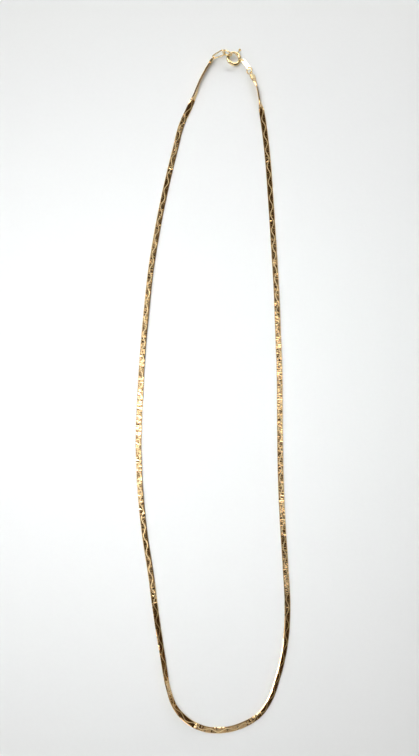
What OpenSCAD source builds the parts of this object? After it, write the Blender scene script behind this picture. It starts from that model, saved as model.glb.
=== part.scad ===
// Flat snake chain necklace, lying on its back as one long narrow loop.
// Millimetres. +Y points to the clasp, +X to the right, +Z up from the surface it lies on.
// The origin is on that surface, at the middle of the loop.

/* [Chain] */
// Width of the flat band
band_w = 1.8; // [1.4:0.1:2]
// Thickness of the band
band_t = 0.5; // [0.4:0.05:0.6]
// Chamfer along the four edges of the band
band_edge = 0.18; // [0.1:0.01:0.2]
// Largest distance between two sections of the band
section_step = 2; // [1:0.5:4]

/* [End caps] */
// Length of the sleeve folded round the end of the band
cap_len = 1.2; // [1:0.1:1.2]
// Thickness of the sleeve's wall
cap_wall = 0.12; // [0.1:0.01:0.15]
// Radius of the sleeve's rounded corners
cap_round = 0.3; // [0.25:0.01:0.3]
// Gap between the band and the sleeve
cap_gap = 0.03; // [0.02:0.01:0.05]
// Thickness of the drilled tab
tab_t = 0.24; // [0.2:0.02:0.26]
// Radius of the tab's round end
tab_r = 0.65; // [0.62:0.01:0.68]
// Radius of the tab's hole
tab_hole_r = 0.42; // [0.4:0.01:0.44]

/* [Spring ring] */
// Outer diameter of the spring ring
clasp_d = 5; // [4.9:0.1:5.2]
// Outer diameter of its tube
tube_d = 1.1; // [1:0.05:1.2]
// Bore of the tube
bore_d = 0.8; // [0.76:0.02:0.84]
// Diameter of the bolt that slides in the bore
bolt_d = 0.68; // [0.64:0.02:0.7]
// Diameter of the thumb knob's head
knob_d = 0.9; // [0.7:0.05:1]
// Width of the slot that the knob slides in
slot_w = 0.5; // [0.44:0.02:0.56]

/* [Links] */
// Diameter of the wire of the jump ring that the bolt hooks
catch_wire_d = 0.5; // [0.4:0.05:0.5]
// Diameter of the wire of the jump ring on the end plate
plate_wire_d = 0.38; // [0.34:0.02:0.4]
// Outer diameter of the jump ring that the bolt hooks
catch_ring_d = 3.6; // [3.5:0.1:3.7]
// Outer diameter of the jump ring on the end plate
plate_ring_d = 2.38; // [2.36:0.01:2.4]
// Diameter of the drop link's wire
drop_wire_d = 0.42; // [0.36:0.02:0.42]

/* [End plate] */
// Width of the flat end plate
plate_w = 1.5; // [1.4:0.05:1.5]
// Distance between its two holes
plate_pitch = 2.7; // [2.65:0.05:2.75]
// Thickness of the end plate
plate_t = 0.22; // [0.18:0.02:0.24]

/* [Hidden] */
$fn = 48;

// Stations of the band's middle line, from the left cap round the loop to the right cap.
// Roll lifts the edge that faces the inside of the loop, and below 0 the outer edge.
// At 90 or -90 the band stands on edge.
// columns: x, y, roll in degrees
left_stations = [
    [-0.2, 102.9, -90],
    [-1, 101.7, -90],
    [-2.4, 99.4, -90],
    [-4.2, 95.7, -88],
    [-5.6, 91.6, -68],
    [-7.5, 87.2, -18],
    [-9.9, 81.8, -2],
    [-12, 73.5, -2],
    [-15, 60.5, 2],
    [-17.5, 47.5, -2],
    [-19.5, 34.5, 2],
    [-21, 19.5, 3],
    [-22, 7, 0],
    [-22.5, -3, -2],
    [-23, -22, -3],
    [-22.5, -33, 2],
    [-21, -47.5, 4],
    [-19, -60, 0],
    [-17, -74, -20],
    [-15, -86, -38],
    [-13.5, -94, -50],
    [-11.5, -99.5, -48],
    [-8.5, -103, -28],
    [-3, -106, -4],
    [3, -106.5, 0],
];
right_stations = [
    [3, -106.5, 0],
    [9, -105, 6],
    [14, -102, 18],
    [17.5, -97, 26],
    [19.5, -91.5, 27],
    [21.5, -84, 24],
    [22.5, -77, 16],
    [22.8, -70, 10],
    [22.3, -58, 6],
    [21.5, -44, 2],
    [21, -29, 0],
    [20.9, -14, 0],
    [20.9, 1, 0],
    [20.5, 15, 0],
    [20, 30, 0],
    [19.3, 43, -2],
    [18.5, 57, 2],
    [17.6, 70.5, -1],
    [16.5, 81, 2],
    [15.8, 85.8, 10],
    [15.1, 89.5, 78],
    [14.3, 93.7, 80],
    [13.2, 96.6, 42],
    [12.75, 97.8, 42],
];
stations = concat(left_stations, [for (i = [1 : len(right_stations) - 1]) right_stations[i]]);
meeting = len(left_stations) - 1;
last = len(stations) - 1;

// The band's section, across and through, as an octagon with chamfered edges
function band_section() = let (w = band_w / 2, t = band_t / 2, c = band_edge) [
    [w - c, -t], [w, c - t], [w, t - c], [w - c, t],
    [c - w, t], [-w, t - c], [-w, c - t], [c - w, -t]];

// Height of the middle line at which a rolled section just touches the surface
function rest_height(roll, w, t) = abs(sin(roll)) * w / 2 + abs(cos(roll)) * t / 2;
function section_height(roll) = -min([for (p = band_section()) p.x * sin(roll) + p.y * cos(roll)]);

function flat(p) = [p.x, p.y];
function gap_after(i) = norm(flat(stations[i + 1]) - flat(stations[i]));

// Slope of the middle line at a station, from the stations on both sides; straight inside the caps
function slope(i) =
    i <= 1 ? (flat(stations[1]) - flat(stations[0])) / gap_after(0) :
    i >= last - 1 ? (flat(stations[last]) - flat(stations[last - 1])) / gap_after(last - 1) :
    let (a = gap_after(i - 1), b = gap_after(i))
    ((flat(stations[i]) - flat(stations[i - 1])) / a * b
        + (flat(stations[i + 1]) - flat(stations[i])) / b * a) / (a + b);

// Point and direction on the cubic curve between station i and the next, u from 0 to 1
function on_curve(i, u) = let (h = gap_after(i))
    flat(stations[i]) * (2 * u^3 - 3 * u^2 + 1) + slope(i) * h * (u^3 - 2 * u^2 + u)
    + flat(stations[i + 1]) * (3 * u^2 - 2 * u^3) + slope(i + 1) * h * (u^3 - u^2);
function along_curve(i, u) = let (h = gap_after(i))
    flat(stations[i]) * (6 * u^2 - 6 * u) + slope(i) * h * (3 * u^2 - 4 * u + 1)
    + flat(stations[i + 1]) * (6 * u - 6 * u^2) + slope(i + 1) * h * (3 * u^2 - 2 * u);
function roll_at(i, u) = stations[i][2] + (stations[i + 1][2] - stations[i][2]) * (3 * u^2 - 2 * u^3);

// Extra height at the two ends, which gives the thicker caps room above the surface
cap_w = band_w + 2 * (cap_gap + cap_wall);
cap_t = band_t + 2 * (cap_gap + cap_wall);
function cap_lift(roll) = rest_height(roll, cap_w, cap_t) - section_height(roll);
function end_lift(i, u) =
    i == 0 ? cap_lift(stations[0][2]) :
    i == 1 ? cap_lift(stations[0][2]) * (1 - u) :
    i == last - 2 ? cap_lift(stations[last][2]) * u :
    i == last - 1 ? cap_lift(stations[last][2]) : 0;

// One section of the band as points in space
function section_points(i, u) = let (
        p = on_curve(i, u),
        d = along_curve(i, u) / norm(along_curve(i, u)),
        roll = roll_at(i, u),
        z = section_height(roll) + end_lift(i, u))
    [for (s = band_section()) let (across = s.x * cos(roll) - s.y * sin(roll))
        [p.x - d.y * across, p.y + d.x * across, z + s.x * sin(roll) + s.y * cos(roll)]];

// Triangles between rings of m points each; with closed at 1 the last ring joins the first
function side_faces(rings, m, closed) = [
    for (r = [0 : rings - 2 + closed], k = [0 : m - 1])
        let (a = r * m + k, b = r * m + (k + 1) % m,
            c = ((r + 1) % rings) * m + k, d = ((r + 1) % rings) * m + (k + 1) % m)
        each [[a, c, d], [a, d, b]]];

function stretch_points(from, to) = concat(
    [for (i = [from : to - 1]) let (n = ceil(gap_after(i) / section_step))
        for (k = [0 : n - 1]) each section_points(i, k / n)],
    section_points(to - 1, 1));

// Solid band swept through the stations from one number to another
module band(from, to) {
    points = stretch_points(from, to);
    m = len(band_section());
    rings = len(points) / m;
    start = [for (k = [0 : m - 1]) k];
    end = [for (k = [m - 1 : -1 : 0]) (rings - 1) * m + k];
    polyhedron(points, concat([start], side_faces(rings, m, 0), [end]));
}

module chain_left() {
    color([0.83, 0.68, 0.4]) band(0, meeting);
}

module chain_right() {
    color([0.86, 0.7, 0.42]) band(meeting, last);
}

// Distance from the end of the band to the middle of the tab's hole
tab_room = 0.08;
tab_reach = cap_gap + cap_wall + tab_r + tab_room;

// Rectangle with rounded corners, centred on the origin
module rounded(w, t, r) {
    square([w - 2 * r, t], center = true);
    square([w, t - 2 * r], center = true);
    for (x = [r - w / 2, w / 2 - r], y = [r - t / 2, t / 2 - r])
        translate([x, y]) circle(r = r);
}

// Folded sleeve with a drilled tab: the band's end is at the origin and the band runs along +X
module end_cap() {
    difference() {
        union() {
            translate([-cap_gap - cap_wall, 0, 0]) rotate([90, 0, 90])
                linear_extrude(cap_len + cap_gap + cap_wall) rounded(cap_w, cap_t, cap_round);
            translate([-tab_reach, 0, -tab_t / 2]) cylinder(r = tab_r, h = tab_t);
            translate([-tab_reach, -tab_r, -tab_t / 2]) cube([tab_reach - cap_gap, 2 * tab_r, tab_t]);
        }
        translate([-cap_gap, 0, 0]) rotate([90, 0, 90]) linear_extrude(2 * cap_len)
            rounded(band_w + 2 * cap_gap, band_t + 2 * cap_gap, cap_round - cap_wall);
        translate([-tab_reach, 0, -tab_t]) cylinder(r = tab_hole_r, h = 2 * tab_t);
    }
}

module at_band_end(i, u, turn) {
    p = on_curve(i, u);
    d = along_curve(i, u);
    roll = roll_at(i, u);
    translate([p.x, p.y, section_height(roll) + end_lift(i, u)])
        rotate([0, 0, atan2(d.y, d.x)]) rotate([roll, 0, 0]) rotate([0, 0, turn]) children();
}

module end_cap_left() {
    color([0.8, 0.62, 0.32]) at_band_end(0, 0, 0) end_cap();
}

module end_cap_right() {
    color([0.8, 0.62, 0.32]) at_band_end(last - 1, 1, 180) end_cap();
}

module wire_ring(outer_d, wire_d) {
    rotate_extrude() translate([(outer_d - wire_d) / 2, 0]) circle(d = wire_d);
}

module wire_arc(r, wire_d, from, sweep) {
    rotate_extrude(start = from, angle = sweep) translate([r, 0]) circle(d = wire_d);
}

// Drop-shaped link in its own XY plane: the small bend's centre is the origin
drop_tip_r = 0.55;
drop_end_r = 0.85;
drop_reach = 2.78;
drop_flare = asin((drop_end_r - drop_tip_r) / drop_reach);
drop_at = [0.6, 104.08, 1.08];
drop_turn = [0, -4, 25];
drop_sides = 12;
tip_steps = 10;
tip_turn = (180 - 2 * drop_flare) / tip_steps;
end_steps = 16;
end_turn = (180 + 2 * drop_flare) / end_steps;
drop_path = concat(
    [for (k = [0 : tip_steps]) [0, drop_tip_r, 90 + drop_flare + k * tip_turn]],
    [for (k = [0 : end_steps]) [drop_reach, drop_end_r, -90 - drop_flare + k * end_turn]]);

module drop_link() {
    points = [for (p = drop_path, k = [0 : drop_sides - 1])
        let (out = p.y + drop_wire_d / 2 * cos(k * 360 / drop_sides))
        [p.x + out * cos(p.z), out * sin(p.z), -drop_wire_d / 2 * sin(k * 360 / drop_sides)]];
    color([0.78, 0.6, 0.3]) translate(drop_at) rotate(drop_turn)
        polyhedron(points, side_faces(len(drop_path), drop_sides, 1));
}

catch_ring_at = [4.61, 104.92, catch_ring_d / 2];
catch_ring_turn = -24;

module catch_ring() {
    color([0.8, 0.62, 0.32]) translate(catch_ring_at)
        rotate([90, 0, catch_ring_turn]) wire_ring(catch_ring_d, catch_wire_d);
}

// Spring ring: its own plane is XY and its angles run counter-clockwise from +X
clasp_at = [6.85, 103.5, 1.02];
clasp_tilt = 14;
clasp_r = (clasp_d - tube_d) / 2;
mouth_left = 165;
mouth_right = 67.5;
tube_sweep = 360 - mouth_left + mouth_right;
bore_over = 2;
knob_closed = 57;
knob_travel = 45;
knob_open = knob_closed - knob_travel;
eye_angle = -13.5;
eye_wire_d = 0.3;
eye_d = 1.5;
eye_out = 0.4;
eye_up = 0.6;

module in_clasp_plane() {
    translate(clasp_at) rotate([0, clasp_tilt, 0]) children();
}

module eye() {
    rotate([0, 0, eye_angle]) translate([clasp_r + eye_out, 0, eye_up])
        rotate([90, 0, 0]) wire_ring(eye_d, eye_wire_d);
}

module slot() {
    reach = clasp_r + bore_d / 4;
    rotate_extrude(start = knob_open, angle = knob_travel)
        translate([reach, -slot_w / 2]) square([tube_d, slot_w]);
    for (a = [knob_open, knob_closed])
        rotate([0, 90, a]) translate([0, 0, reach]) cylinder(d = slot_w, h = tube_d);
}

module spring_ring() {
    color([0.85, 0.66, 0.3]) in_clasp_plane() difference() {
        union() {
            wire_arc(clasp_r, tube_d, mouth_left, tube_sweep);
            eye();
        }
        wire_arc(clasp_r, bore_d, mouth_left - bore_over, tube_sweep + 2 * bore_over);
        slot();
    }
}

// Bolt: a curved wire whose two ends stay inside the tube, with a stem and a round head
bolt_behind_knob = 12;
bolt_past_mouth = 7;
bolt_from = knob_closed - bolt_behind_knob;
bolt_to = mouth_left + bolt_past_mouth;
stem_d = 0.36;
stem_out = 0.85;
stem_top = clasp_d / 2 + stem_out;
head_h = 0.55;
head_edge = 0.15;

module knob() {
    rotate([0, 90, knob_closed]) {
        translate([0, 0, clasp_r]) cylinder(d = stem_d, h = stem_top - clasp_r + head_h / 2);
        translate([0, 0, stem_top]) {
            cylinder(d1 = knob_d - 2 * head_edge, d2 = knob_d, h = head_edge);
            translate([0, 0, head_edge]) cylinder(d = knob_d, h = head_h - 2 * head_edge);
            translate([0, 0, head_h - head_edge])
                cylinder(d1 = knob_d, d2 = knob_d - 2 * head_edge, h = head_edge);
        }
    }
}

module bolt() {
    color([0.72, 0.54, 0.28]) in_clasp_plane() {
        wire_arc(clasp_r, bolt_d, bolt_from, bolt_to - bolt_from);
        knob();
    }
}

// End plate: flat, with round ends, its upper hole on the eye
plate_hole_r = 0.45;
plate_at = [9.9, 102.62, 1.02];
plate_turn = [-24.5, 1, -53.5];

module end_plate() {
    color([0.95, 0.88, 0.68]) translate(plate_at) rotate(plate_turn) translate([0, 0, -plate_t / 2])
        linear_extrude(plate_t) difference() {
            union() {
                circle(d = plate_w);
                translate([plate_pitch, 0]) circle(d = plate_w);
                translate([0, -plate_w / 2]) square([plate_pitch, plate_w]);
            }
            circle(r = plate_hole_r);
            translate([plate_pitch, 0]) circle(r = plate_hole_r);
        }
}

plate_ring_at = [11.85, 99.4, 0.91];
plate_ring_turn = [46, 0, -68];

module plate_ring() {
    color([0.8, 0.62, 0.32]) translate(plate_ring_at)
        rotate(plate_ring_turn) wire_ring(plate_ring_d, plate_wire_d);
}

chain_left();
chain_right();
end_cap_left();
end_cap_right();
drop_link();
catch_ring();
spring_ring();
bolt();
end_plate();
plate_ring();
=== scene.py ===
# %% [markdown]
# # A flat snake chain necklace with a wave-cut face
#
# The real necklace is a flat band of about 840 tiny metal links, polished like a mirror on both faces,
# with a wavy line cut along the middle. It lies on a table as one long, narrow loop, closed by a
# spring-ring clasp. The measured model already holds the clasp's pieces at their real size, and two plain
# bands where the links belong. This script makes the links, lays them on the bands' route, gives every
# surface its finish, and sets the floor, the light and the camera.

# %% Load the measured model
import math

import bpy
import numpy as np
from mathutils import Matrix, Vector


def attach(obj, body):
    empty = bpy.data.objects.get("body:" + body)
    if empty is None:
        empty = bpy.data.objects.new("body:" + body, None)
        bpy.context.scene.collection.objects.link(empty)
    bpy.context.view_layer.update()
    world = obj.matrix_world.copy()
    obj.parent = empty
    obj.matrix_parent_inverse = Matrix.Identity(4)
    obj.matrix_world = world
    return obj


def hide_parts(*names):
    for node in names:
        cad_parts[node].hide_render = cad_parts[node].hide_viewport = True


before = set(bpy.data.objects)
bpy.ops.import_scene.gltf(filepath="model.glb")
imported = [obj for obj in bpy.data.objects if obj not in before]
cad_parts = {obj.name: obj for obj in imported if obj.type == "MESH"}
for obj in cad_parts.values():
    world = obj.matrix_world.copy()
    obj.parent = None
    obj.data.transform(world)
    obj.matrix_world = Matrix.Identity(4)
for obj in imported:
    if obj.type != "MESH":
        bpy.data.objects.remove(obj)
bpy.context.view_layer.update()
MM = 0.001

# %% [markdown]
# The camera comes first, so that every later step can be looked at. The photograph was taken from almost
# straight above, about 30 cm over the table, leaning a little towards the bottom of the loop. A camera is
# aimed by turning its own -Z axis to the target, and the lens follows from the angle of view on the
# picture's long side.

# %% Aim the camera
VIEW_ANGLE = math.radians(43)
SENSOR = 36
CAMERA_TILT = math.radians(5.5)
CAMERA_DISTANCE = 300 * MM


def aim_camera(target, tilt, distance):
    data = bpy.data.cameras.new("camera")
    data.sensor_width = SENSOR
    data.lens = SENSOR / 2 / math.tan(VIEW_ANGLE / 2)
    data.clip_start = 5 * MM
    camera = bpy.data.objects.new("camera", data)
    bpy.context.scene.collection.objects.link(camera)
    x, y, z = target
    camera.location = (x, y - distance * math.sin(tilt), z + distance * math.cos(tilt))
    camera.rotation_euler = (tilt, 0, 0)
    bpy.context.scene.camera = camera
    return camera


camera = aim_camera((-1 * MM, 0.25 * MM, 0), CAMERA_TILT, CAMERA_DISTANCE)
print("lens in mm:", round(camera.data.lens, 1))

# %% [markdown]
# The band's route is the one that the measured model was made from: a short table of places, in
# millimetres, with the band's roll at each. A roll of 0 lies flat, and 90 stands on edge with its inner
# edge up. The two tables meet at the bottom of the loop, where the measured model changes from its left
# band to its right one.

# %% The band's route
BAND_W = 1.8
BAND_T = 0.5
BAND_EDGE = 0.18
CAP_GROWTH = 0.3
CAP_W = BAND_W + CAP_GROWTH
CAP_T = BAND_T + CAP_GROWTH
# columns: x, y, roll in degrees
LEFT_ROUTE = [
    (-0.2, 102.9, -90), (-1, 101.7, -90), (-2.4, 99.4, -90), (-4.2, 95.7, -88),
    (-5.6, 91.6, -68), (-7.5, 87.2, -18), (-9.9, 81.8, -2), (-12, 73.5, -2),
    (-15, 60.5, 2), (-17.5, 47.5, -2), (-19.5, 34.5, 2), (-21, 19.5, 3),
    (-22, 7, 0), (-22.5, -3, -2), (-23, -22, -3), (-22.5, -33, 2),
    (-21, -47.5, 4), (-19, -60, 0), (-17, -74, -20), (-15, -86, -38),
    (-13.5, -94, -50), (-11.5, -99.5, -48), (-8.5, -103, -28), (-3, -106, -4),
    (3, -106.5, 0),
]
RIGHT_ROUTE = [
    (3, -106.5, 0), (9, -105, 6), (14, -102, 18), (17.5, -97, 26),
    (19.5, -91.5, 27), (21.5, -84, 24), (22.5, -77, 16), (22.8, -70, 10),
    (22.3, -58, 6), (21.5, -44, 2), (21, -29, 0), (20.9, -14, 0),
    (20.9, 1, 0), (20.5, 15, 0), (20, 30, 0), (19.3, 43, -2),
    (18.5, 57, 2), (17.6, 70.5, -1), (16.5, 81, 2), (15.8, 85.8, 10),
    (15.1, 89.5, 78), (14.3, 93.7, 80), (13.2, 96.6, 42), (12.75, 97.8, 42),
]
ROUTE = LEFT_ROUTE + RIGHT_ROUTE[1:]
MEETING = len(LEFT_ROUTE) - 1
LAST = len(ROUTE) - 1
places = [np.array(row[:2], float) for row in ROUTE]
rolls = [row[2] for row in ROUTE]
print("rows on the route:", len(ROUTE), "and the two sides meet at row", MEETING)

# %% [markdown]
# Between two rows the route is a cubic curve, and its height is worked out so that the band just touches
# the table. The links could be placed one by one with this function. It is simpler to let a Curve modifier
# do it, because a curve point holds a roll too, as its tilt.

# %% Places between the rows
def gap_after(i):
    return float(np.linalg.norm(places[i + 1] - places[i]))


def slope(i):
    """Direction of the route at row i, straight inside the two end caps."""
    if i <= 1:
        return (places[1] - places[0]) / gap_after(0)
    if i >= LAST - 1:
        return (places[LAST] - places[LAST - 1]) / gap_after(LAST - 1)
    a, b = gap_after(i - 1), gap_after(i)
    before, after = (places[i] - places[i - 1]) / a, (places[i + 1] - places[i]) / b
    return (before * b + after * a) / (a + b)


def rest_height(roll, w, t):
    turn = math.radians(roll)
    return abs(math.sin(turn)) * w / 2 + abs(math.cos(turn)) * t / 2


def section_height(roll):
    """Height of the middle line of the rolled band, whose corners have chamfers."""
    w, t = BAND_W / 2, BAND_T / 2
    turn = math.radians(abs(roll))
    corners = [(w - BAND_EDGE, t), (w, t - BAND_EDGE)]
    return max(x * math.sin(turn) + z * math.cos(turn) for x, z in corners)


def end_lift(i, u):
    """Extra height near the ends, which gives the thicker caps room above the table."""
    first = rest_height(rolls[0], CAP_W, CAP_T) - section_height(rolls[0])
    final = rest_height(rolls[LAST], CAP_W, CAP_T) - section_height(rolls[LAST])
    return {0: first, 1: first * (1 - u), LAST - 2: final * u, LAST - 1: final}.get(i, 0)


def on_route(i, u):
    """Place (x, y, z) in millimetres and roll in degrees, between row i and the next."""
    h = gap_after(i)
    x, y = (places[i] * (2 * u**3 - 3 * u**2 + 1) + slope(i) * h * (u**3 - 2 * u**2 + u)
            + places[i + 1] * (3 * u**2 - 2 * u**3) + slope(i + 1) * h * (u**3 - u**2))
    roll = rolls[i] + (rolls[i + 1] - rolls[i]) * (3 * u**2 - 2 * u**3)
    return (x, y, section_height(roll) + end_lift(i, u)), roll


place, roll = on_route(0, 0)
print("the left end lies at", [round(float(v), 2) for v in place], "mm with a roll of", roll)

# %% [markdown]
# Two guide curves are drawn along that route, one for each side of the loop. Their points are only half
# a millimetre apart, so that straight pieces between them follow every bend and roll.

# %% Draw the two guide curves
GUIDE_STEP = 0.5


def guide_curve(name, first, last):
    """A curve through rows first to last, and its length in millimetres."""
    rows = []
    for i in range(first, last):
        steps = math.ceil(gap_after(i) / GUIDE_STEP)
        rows += [on_route(i, k / steps) for k in range(steps)]
    rows.append(on_route(last - 1, 1))
    data = bpy.data.curves.new(name, "CURVE")
    data.dimensions = "3D"
    data.twist_mode = "Z_UP"
    line = data.splines.new("POLY")
    line.points.add(len(rows) - 1)
    for point, (place, roll) in zip(line.points, rows):
        point.co = (*[v * MM for v in place], 1)
        point.tilt = math.radians(roll)
    guide = bpy.data.objects.new(name, data)
    bpy.context.scene.collection.objects.link(guide)
    steps = np.diff([place for place, roll in rows], axis=0)
    return guide, float(np.linalg.norm(steps, axis=1).sum())


left_guide, left_length = guide_curve("left_guide", 0, MEETING)
right_guide, right_length = guide_curve("right_guide", MEETING, LAST)
print("band lengths in mm:", round(left_length, 1), round(right_length, 1))

# %% [markdown]
# Modelling by hand means going into edit mode, selecting a few faces or edges and using a tool on them. A
# script does the same, but it has no mouse, so it selects by place or by direction. Selecting by number
# would be shorter, and it would break as soon as an earlier step added a face.

# %% Helpers for work in edit mode
def start_edit(obj, kind):
    """Opens obj in edit mode with nothing selected."""
    bpy.ops.object.select_all(action="DESELECT")
    obj.select_set(True)
    bpy.context.view_layer.objects.active = obj
    bpy.ops.object.mode_set(mode="EDIT")
    bpy.ops.mesh.select_mode(type=kind)
    bpy.ops.mesh.select_all(action="DESELECT")


def pick(obj, elements, wanted):
    """Selects only the vertices, edges or faces that the test wants."""
    bpy.ops.mesh.select_all(action="DESELECT")
    bpy.ops.object.mode_set(mode="OBJECT")
    for element in getattr(obj.data, elements):
        element.select = wanted(element)
    bpy.ops.object.mode_set(mode="EDIT")


def finish_edit():
    bpy.ops.object.mode_set(mode="OBJECT")


def middle(obj, element):
    """Centre of an edge or a face."""
    points = [obj.data.vertices[v].co for v in element.vertices]
    return sum(points, points[0] * 0) / len(points)


def apply_modifier(obj, kind, **settings):
    """Adds a modifier, sets it and applies it."""
    bpy.ops.object.select_all(action="DESELECT")
    obj.select_set(True)
    bpy.context.view_layer.objects.active = obj
    modifier = obj.modifiers.new(kind.lower(), kind)
    for key, value in settings.items():
        setattr(modifier, key, value)
    bpy.ops.object.modifier_apply(modifier=modifier.name)


# %% [markdown]
# One link is a flat bar across the band, folded to a shallow V, and stepped so that its lower half reaches
# under the next link. That is how the real links hold together, and why no light shows between them. Its
# top drops very slightly at the front and back, and both ends are bevelled, which gives the band its
# bevelled edges.
#
# Blender's bevel and bisect tools have tolerances made for things of a metre, so the link is modelled a
# thousand times larger, one unit to the millimetre, and shrunk when its row is complete.

# %% Model one link
LINKS_PER_WAVE = 10
WAVE = 5.2
PITCH = WAVE / LINKS_PER_WAVE
LINK_GAP = 0.045
LINK_LENGTH = PITCH - LINK_GAP
FOLD = 0.16
STEP = 0.12
CROWN_W = 0.09
CROWN_DROP = 0.0016
NEAR = 1e-4
FACING = 0.9


def model_link():
    """One link, in millimetres, with its middle on the X axis and its back end near x = 0."""
    bpy.ops.object.select_all(action="DESELECT")
    bpy.ops.mesh.primitive_cube_add(size=1, location=(LINK_LENGTH / 2, 0, BAND_T / 4))
    link = bpy.context.object
    link.scale = (LINK_LENGTH, BAND_W, BAND_T / 2)
    bpy.ops.object.transform_apply(location=True, rotation=False, scale=True)
    start_edit(link, "FACE")
    pick(link, "polygons", lambda f: f.normal.z < -FACING)
    bpy.ops.mesh.extrude_region_move(TRANSFORM_OT_translate={"value": (STEP, 0, -BAND_T / 2)})
    bpy.ops.mesh.select_all(action="SELECT")
    bpy.ops.mesh.bisect(plane_co=(0, 0, 0), plane_no=(0, 1, 0), threshold=NEAR)
    for x in (CROWN_W, LINK_LENGTH - CROWN_W):
        pick(link, "polygons", lambda f: f.normal.z > FACING)
        bpy.ops.mesh.bisect(plane_co=(x, 0, 0), plane_no=(1, 0, 0), threshold=NEAR)
    bpy.ops.mesh.select_mode(type="VERT")
    pick(link, "vertices", lambda v: v.co.z > BAND_T / 2 - NEAR
         and not NEAR < v.co.x < LINK_LENGTH - NEAR)
    bpy.ops.transform.translate(value=(0, 0, -CROWN_DROP))
    pick(link, "vertices", lambda v: abs(v.co.y) < NEAR)
    bpy.ops.transform.translate(value=(FOLD, 0, 0))
    bpy.ops.mesh.select_mode(type="EDGE")
    pick(link, "edges", lambda e: abs(abs(middle(link, e).y) - BAND_W / 2) < NEAR
         and abs(abs(middle(link, e).z) - BAND_T / 2) < 2 * CROWN_DROP)
    bpy.ops.mesh.bevel(offset=BAND_EDGE, offset_type="OFFSET", segments=1, clamp_overlap=False)
    finish_edit()
    return link


link = model_link()
link.name = "link"
print("one link:", len(link.data.polygons), "faces,", [round(v, 3) for v in link.dimensions], "mm")

# %% [markdown]
# A finish is a network of nodes. It could be built node by node, which makes long code for a short
# thought. Here the arithmetic of a finish is written as Python sums, and one small class turns each sum
# or product into a Math node.

# %% A small class for shader arithmetic
class Socket:
    """An output of a node. Sums, differences and products of sockets add Math nodes."""

    def __init__(self, graph, output):
        self.graph = graph
        self.output = output

    def math(self, operation, a, b):
        return self.graph.node("ShaderNodeMath", {"operation": operation}, {0: a, 1: b})

    def __add__(self, other):
        return self.math("ADD", self, other)

    def __radd__(self, other):
        return self.math("ADD", other, self)

    def __sub__(self, other):
        return self.math("SUBTRACT", self, other)

    def __rsub__(self, other):
        return self.math("SUBTRACT", other, self)

    def __mul__(self, other):
        return self.math("MULTIPLY", self, other)

    def __rmul__(self, other):
        return self.math("MULTIPLY", other, self)


class Graph:
    """The empty node tree of a material or a world."""

    def __init__(self, owner):
        owner.use_nodes = True
        self.tree = owner.node_tree
        self.tree.nodes.clear()

    def node(self, kind, settings=None, inputs=None, output=0):
        """Adds a node, with its settings first and then its sockets' values or links."""
        made = self.tree.nodes.new(kind)
        for key, value in (settings or {}).items():
            setattr(made, key, value)
        for key, value in (inputs or {}).items():
            if isinstance(value, Socket):
                self.tree.links.new(value.output, made.inputs[key])
            else:
                made.inputs[key].default_value = value
        return Socket(self, made.outputs[output]) if made.outputs else None

    def blend(self, amount, low, high):
        """A colour between low and high."""
        ends = [end if isinstance(end, Socket) else (*end, 1) for end in (low, high)]
        return self.node("ShaderNodeMix", {"data_type": "RGBA"},
                         {0: amount, 6: ends[0], 7: ends[1]}, output=2)

    def step(self, value, low, high):
        """0 where value is below low, 1 where it is above high, and smooth between."""
        return self.node("ShaderNodeMapRange", {"interpolation_type": "SMOOTHSTEP"},
                         {"Value": value, "From Min": low, "From Max": high})


def finish(name, describe):
    """A material whose Principled shader gets the sockets that describe(graph) works out."""
    material = bpy.data.materials.new(name)
    graph = Graph(material)
    shader = graph.node("ShaderNodeBsdfPrincipled", {}, describe(graph))
    graph.node("ShaderNodeOutputMaterial", {}, {"Surface": shader})
    return material


# %% [markdown]
# Gold is a metal, so it has no colour of its own but the tint of its reflections. What tells one gold
# surface from another is mostly how sharp those reflections are. The faces of the links are polished, the
# wavy cut was made by a spinning diamond point and is a little duller, and the clasp is tumbled wire. The
# cut also gets a darker tint, which is painted shade for the small shadows in its groove, and the end
# plate a paler, nearly white one, which is a painted highlight on the same gold. Each finish varies
# slightly over about a millimetre, as worn metal does. One colour and one roughness for each would be
# simpler, but then every link would look equally new.

# %% The gold finishes
GRAIN_SCALE = 9000
GRAIN_STRENGTH = 0.015
GRAIN_DEPTH = 0.01 * MM
SMOOTHEST = 0.6
ROUGHER_BY = 0.8


def gold(name, tone, deep_tone, roughness, cloud_size):
    """Gold with a soft, cloudy change in polish and a fine grain."""

    def describe(graph):
        place = graph.node("ShaderNodeTexCoord", output="Object")
        clouds = graph.node("ShaderNodeTexNoise", {},
                            {"Vector": place, "Scale": 1 / cloud_size, "Detail": 3})
        grain = graph.node("ShaderNodeTexNoise", {}, {"Vector": place, "Scale": GRAIN_SCALE, "Detail": 2})
        return {
            "Base Color": graph.blend(clouds, deep_tone, tone),
            "Metallic": 1,
            "Roughness": roughness * (SMOOTHEST + ROUGHER_BY * clouds),
            "Normal": graph.node("ShaderNodeBump", {}, {
                "Height": grain, "Strength": GRAIN_STRENGTH, "Distance": GRAIN_DEPTH}),
        }

    return finish(name, describe)


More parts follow.
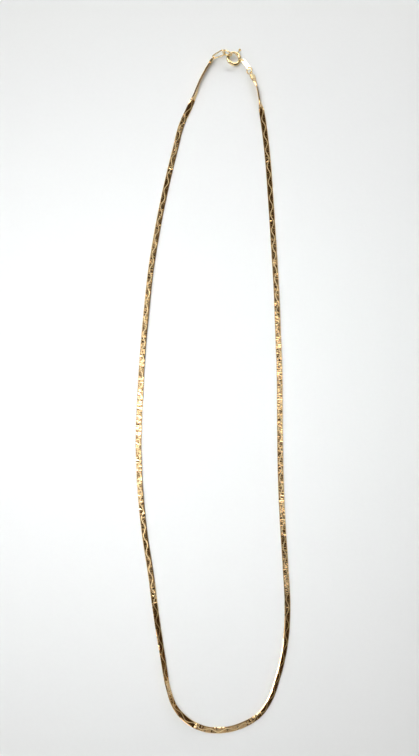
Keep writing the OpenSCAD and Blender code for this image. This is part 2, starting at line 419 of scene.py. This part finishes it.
GOLD = (0.94, 0.73, 0.44)
DEEP_GOLD = (0.89, 0.63, 0.33)
# The cut's two tints are darker than the links' gold: painted shade for the small shadows in its groove.
CUT_TINT_PAINTED_SHADE = (0.76, 0.55, 0.29)
CUT_DEEP_TINT_PAINTED_SHADE = (0.68, 0.47, 0.23)
# The end plate's pale, nearly white tint is a painted highlight on the same gold as the clasp.
PLATE_TINT_PAINTED_HIGHLIGHT = (0.97, 0.90, 0.74)
CLASP_GOLD = (0.93, 0.78, 0.48)
CLASP_DEEP = (0.87, 0.68, 0.36)
link_gold = gold("polished_link_gold", GOLD, DEEP_GOLD, roughness=0.05, cloud_size=1.5 * MM)
cut_finish_painted_shade = gold("gold_of_cut_painted_shade", CUT_TINT_PAINTED_SHADE, CUT_DEEP_TINT_PAINTED_SHADE, roughness=0.42, cloud_size=1.5 * MM)
clasp_gold = gold("tumbled_clasp_gold", CLASP_GOLD, CLASP_DEEP, roughness=0.14, cloud_size=0.6 * MM)
plate_gold = gold("plate_gold", PLATE_TINT_PAINTED_HIGHLIGHT, CLASP_GOLD, roughness=0.2, cloud_size=0.6 * MM)
print("finishes:", [m.name for m in bpy.data.materials if "gold" in m.name])

# %% [markdown]
# Ten links make one wave. They are laid in a row by an Array modifier, and the wavy cut is made in all ten
# at once, as the real one is: a V-shaped rod, drawn by extruding a diamond along the wave, is taken out
# of their tops with a Boolean. The rod has its own material, which the cut faces keep.

# %% Cut the wave into ten links
WAVE_SWING = 0.42
CUT_W = 0.3
CUT_DEPTH = 0.022
CREST_AT = 1.3
CUT_STEPS = 24
CUT_OVERRUN = 2 * PITCH


def wave_side(x):
    """How far the cut lies towards the inside of the loop, at x millimetres along its wave."""
    return WAVE_SWING * math.cos(2 * math.pi * (x - CREST_AT) / WAVE)


def cutting_rod():
    """A rod of diamond section along one wave and a little more at both ends."""
    start, step = -CUT_OVERRUN, (WAVE + 2 * CUT_OVERRUN) / CUT_STEPS
    bpy.ops.object.select_all(action="DESELECT")
    bpy.ops.mesh.primitive_circle_add(vertices=4, radius=1, fill_type="NGON",
                                      rotation=(0, math.pi / 2, 0))
    rod = bpy.context.object
    bpy.ops.object.transform_apply(location=False, rotation=True, scale=False)
    rod.scale = (1, CUT_W / 2, CUT_DEPTH)
    rod.location = (start, wave_side(start), BAND_T / 2)
    bpy.ops.object.transform_apply(location=True, rotation=False, scale=True)
    start_edit(rod, "FACE")
    bpy.ops.mesh.select_all(action="SELECT")
    for k in range(CUT_STEPS):
        x = start + k * step
        move = (step, wave_side(x + step) - wave_side(x), 0)
        bpy.ops.mesh.extrude_region_move(TRANSFORM_OT_translate={"value": move})
    bpy.ops.mesh.select_all(action="SELECT")
    bpy.ops.mesh.normals_make_consistent(inside=False)
    finish_edit()
    rod.data.materials.append(cut_finish_painted_shade)
    return rod


link.data.materials.append(link_gold)
apply_modifier(link, "ARRAY", count=LINKS_PER_WAVE, use_relative_offset=False,
               use_constant_offset=True, constant_offset_displace=(PITCH, 0, 0))
rod = cutting_rod()
apply_modifier(link, "BOOLEAN", operation="DIFFERENCE", solver="EXACT", object=rod,
               material_mode="TRANSFER")
bpy.data.objects.remove(rod)
link.name = "wave_of_links"
print("one wave:", len(link.data.polygons), "faces,", [m.name for m in link.data.materials])

# %% [markdown]
# The real links aren't quite in line: each is tipped and twisted by a degree or two, and more where the
# band is bent sideways, at the bottom of the loop, where they fan out and glitter. A seeded random
# generator does it, with three small turns for each link, while the row is still straight. Turning the
# links after they are laid along the loop would mean knowing where each of them points.

# %% Tip the links one by one
TIP = math.radians(3)
BEND_TIP = math.radians(4)
BEND_REACH = 45
TIP_SPREAD = 0.5
SIDE_SHARE = 0.25


def bend_share(distance):
    """1 in the sideways bend at the bottom of the loop, and 0 from BEND_REACH millimetres away."""
    return np.clip(1 - distance / BEND_REACH, 0, 1)


def link_numbers(points):
    """Number of the link that each point of a straight row belongs to."""
    x, y, z = points.T
    unfolded = x - FOLD * (1 - np.abs(y) / (BAND_W / 2))
    upright = unfolded - STEP * np.maximum(0, -z) / (BAND_T / 2)
    return np.floor((upright + (PITCH - LINK_LENGTH) / 2) / PITCH).astype(int)


def tip_links(strip, meeting, seed):
    """Turns and twists each link a little. The row meets the other side at x = meeting."""
    points = np.zeros(len(strip.data.vertices) * 3)
    strip.data.vertices.foreach_get("co", points)
    points = points.reshape(-1, 3)
    numbers = link_numbers(points)
    count = numbers.max() + 1
    centres = (np.arange(count) + 0.5) * PITCH
    dice = np.random.default_rng(seed)
    reach = TIP + BEND_TIP * bend_share(np.abs(centres - meeting))
    forward, sideways, twist = dice.normal(0, TIP_SPREAD, (3, count)) * reach
    ahead = points[:, 0] - centres[numbers]
    side = points[:, 1]
    pitch_up = forward[numbers] + twist[numbers] * side / (BAND_W / 2)
    points[:, 2] += ahead * pitch_up + side * sideways[numbers] * SIDE_SHARE
    strip.data.vertices.foreach_set("co", points.ravel())
    return count


# %% [markdown]
# The wave of ten links is repeated in a straight row by an Array modifier, with the whole number of waves
# that comes nearest to the side's length. The row is then scaled to exactly that length, and a Curve
# modifier lays it on the guide, with its bends and its roll. The links' folds and steps point forward
# along the row, so the right row ends a little short, which keeps its last link inside the cap.

# %% Lay the links along both sides
END_ROOM = 0.35


def lay_links(name, guide, length, meeting_share, seed):
    """A row of whole waves as long as the guide, laid along it."""
    waves = round(length / WAVE)
    bpy.ops.object.select_all(action="DESELECT")
    link.select_set(True)
    bpy.context.view_layer.objects.active = link
    bpy.ops.object.duplicate()
    strip = bpy.context.object
    strip.name = name
    apply_modifier(strip, "ARRAY", count=waves, use_relative_offset=False,
                   use_constant_offset=True, constant_offset_displace=(WAVE, 0, 0))
    count = tip_links(strip, meeting_share * waves * WAVE, seed)
    strip.scale = (length / (waves * WAVE) * MM, MM, MM)
    bpy.ops.object.transform_apply(location=False, rotation=False, scale=True)
    apply_modifier(strip, "CURVE", object=guide, deform_axis="POS_X")
    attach(strip, "necklace")
    print(name, "has", count, "links and", len(strip.data.polygons), "faces")
    return strip


left_links = lay_links("chain_left_links", left_guide, left_length, 1, seed=3)
right_links = lay_links("chain_right_links", right_guide, right_length - END_ROOM, 0, seed=4)
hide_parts("chain_left")
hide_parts("chain_right")
for spare in (link, left_guide, right_guide):
    bpy.data.objects.remove(spare)

# %% [markdown]
# The clasp's pieces come from the measured model. They are small wires and plates whose shape is already
# right, so they only need their finish.

# %% Finish the clasp
for name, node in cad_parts.items():
    node.data.materials.clear()
    node.data.materials.append(plate_gold if name == "end_plate" else clasp_gold)

# %% [markdown]
# The necklace lies on a plain white surface. Here it is a large square of white card with a very faint
# tooth, a little cooler in colour than a neutral grey, as in the photograph. A plane is enough, because
# nothing of its edges shows.

# %% The floor
PAPER_LOW = (0.85, 0.88, 0.89)
PAPER_HIGH = (0.87, 0.9, 0.91)
PAPER_ROUGHNESS = 0.7
TOOTH_SCALE = 900
FLOOR_SIZE = 3


def paper(graph):
    """White card with a very faint tooth."""
    place = graph.node("ShaderNodeTexCoord", output="Object")
    tooth = graph.node("ShaderNodeTexNoise", {}, {"Vector": place, "Scale": TOOTH_SCALE, "Detail": 3})
    return {
        "Base Color": graph.blend(tooth, PAPER_LOW, PAPER_HIGH),
        "Roughness": PAPER_ROUGHNESS,
    }


def add_floor():
    bpy.ops.object.select_all(action="DESELECT")
    bpy.ops.mesh.primitive_plane_add(size=FLOOR_SIZE)
    floor = bpy.context.object
    floor.name = "floor"
    floor.data.materials.append(finish("white_card", paper))


add_floor()

# %% [markdown]
# A polished link is a tiny mirror, so the room above it is what gives it its look. Five soft lamps light
# the table, most of all around its middle. Rows of narrow lit slats hang over the two sides of the loop
# like a half-closed blind. Each link mirrors one of them or the dim ceiling between them, and that is
# where the specks come from. A few small cards make the single glints, and a wide dim one keeps the bottom
# bend from going black. A few broad slats would be simpler, but they would give the links smooth faces
# without any specks.

# %% Lamps and the room
BRIGHT_WAY = (-0.8, 0.6)
BRIGHT_EDGE = (0.1, 0.6)
WALL_TOP = (0.2, 0.45)


def add_lamp(name, place, aim, size, strength, spread=180):
    """A soft box in millimetres. Strength is how bright it looks, next to white paper in full light."""
    data = bpy.data.lights.new(name, "AREA")
    data.shape = "RECTANGLE"
    data.size, data.size_y = size[0] * MM, size[1] * MM
    data.energy = strength * math.pi * data.size * data.size_y
    data.spread = math.radians(spread)
    lamp = bpy.data.objects.new(name, data)
    lamp.location = [v * MM for v in place]
    lamp.visible_camera = False
    way = Vector(aim) - Vector(place)
    lamp.rotation_euler = way.to_track_quat("-Z", "Y").to_euler()
    bpy.context.scene.collection.objects.link(lamp)


def add_room(bright_wall, dim_wall, ceiling):
    """Walls up to about 25 degrees above the table, brighter towards BRIGHT_WAY, and a dim ceiling."""
    world = bpy.data.worlds.new("room")
    graph = Graph(world)
    way = graph.node("ShaderNodeTexCoord", output="Generated")
    x = graph.node("ShaderNodeSeparateXYZ", {}, {0: way}, output="X")
    y = graph.node("ShaderNodeSeparateXYZ", {}, {0: way}, output="Y")
    z = graph.node("ShaderNodeSeparateXYZ", {}, {0: way}, output="Z")
    towards = BRIGHT_WAY[1] * y + BRIGHT_WAY[0] * x
    wall = graph.blend(graph.step(towards, *BRIGHT_EDGE), dim_wall, bright_wall)
    colour = graph.blend(graph.step(z, *WALL_TOP), wall, ceiling)
    background = graph.node("ShaderNodeBackground", {}, {"Color": colour})
    graph.node("ShaderNodeOutputWorld", {}, {"Surface": background})
    bpy.context.scene.world = world


# %% [markdown]
# A flat link at (x, y) mirrors the place near (3 x, 3 y + 57) at a height of 600 mm. So the middle of the
# left side, which is nearly white in the photograph, gets the strongest slats, and the upper and lower
# parts, which are dark there, get faint ones or none.

# %% Set up the light
HEIGHT = 600
POOL = (-10, 5, 0)
LEFT_SLAT_X, LEFT_SLAT_LENGTH = -60, 170
RIGHT_SLAT_X, RIGHT_SLAT_LENGTH = 85, 110
# columns: name, place, aim, size, strength, spread in degrees
WINDOWS = [
    ("left_window", (-446, 60, 397), POOL, (560, 320), 0.17, 70),
    ("overhead_window", (-350, 50, 560), POOL, (480, 300), 0.69, 70),
    ("pool_lamp", (-260, -10, 560), (-20, -5, 0), (120, 120), 0.84, 26),
    ("front_window", (-120, -560, 330), POOL, (700, 300), 1.4, 180),
    ("back_window", (180, 560, 300), POOL, (560, 300), 4.5, 180),
]
# columns: y, width along y, strength
LEFT_SLATS = [
    (-122, 6, 0.9), (-98, 6, 1), (-76, 6, 1.1), (-50, 6, 1.4), (-32, 6, 1.5), (-14, 6, 1.8), (4, 7, 3),
    (23, 12, 10), (44, 7, 3.4), (62, 6, 2.2), (80, 6, 2), (100, 6, 1.7), (120, 6, 1.4),
    (146, 6, 1.2), (176, 6, 1), (212, 6, 0.8),
]
RIGHT_SLATS = [
    (-52, 6, 1.3), (-12, 6, 2.6), (24, 7, 2.6), (56, 8, 4), (86, 8, 4.4), (120, 6, 1.5), (160, 5, 1),
]
# columns: x, y, size along x, size along y, strength
CARDS = [
    (8, 264, 8, 8, 7), (-46, 218, 8, 8, 7), (0, 340, 90, 60, 0.5), (104, -70, 44, 12, 4.5),
    (205, -115, 110, 8, 2.4), (240, -160, 130, 8, 2.4), (20, -430, 260, 420, 0.32),
    (-10, -190, 110, 70, 0.4), (-32, -320, 7, 160, 2.5), (-8, -320, 7, 160, 2.5), (16, -320, 8, 160, 3),
    (40, -320, 8, 160, 3), (28, -340, 24, 80, 8), (110, -263, 100, 12, 4.2),
]
add_room(bright_wall=(0.45, 0.45, 0.45), dim_wall=(0.13, 0.086, 0.045), ceiling=(0.056, 0.036, 0.017))
for window in WINDOWS:
    add_lamp(*window)
for y, width, strength in LEFT_SLATS:
    add_lamp(f"left_slat_{y}", (LEFT_SLAT_X, y, HEIGHT), (LEFT_SLAT_X, y, 0),
             (LEFT_SLAT_LENGTH, width), strength)
for y, width, strength in RIGHT_SLATS:
    add_lamp(f"right_slat_{y}", (RIGHT_SLAT_X, y, HEIGHT), (RIGHT_SLAT_X, y, 0),
             (RIGHT_SLAT_LENGTH, width), strength)
for x, y, long, width, strength in CARDS:
    add_lamp(f"card_{x}_{y}", (x, y, HEIGHT), (x, y, 0), (long, width), strength)
bpy.context.scene.view_settings.view_transform = "Standard"
print("lamps:", len(bpy.data.lights))
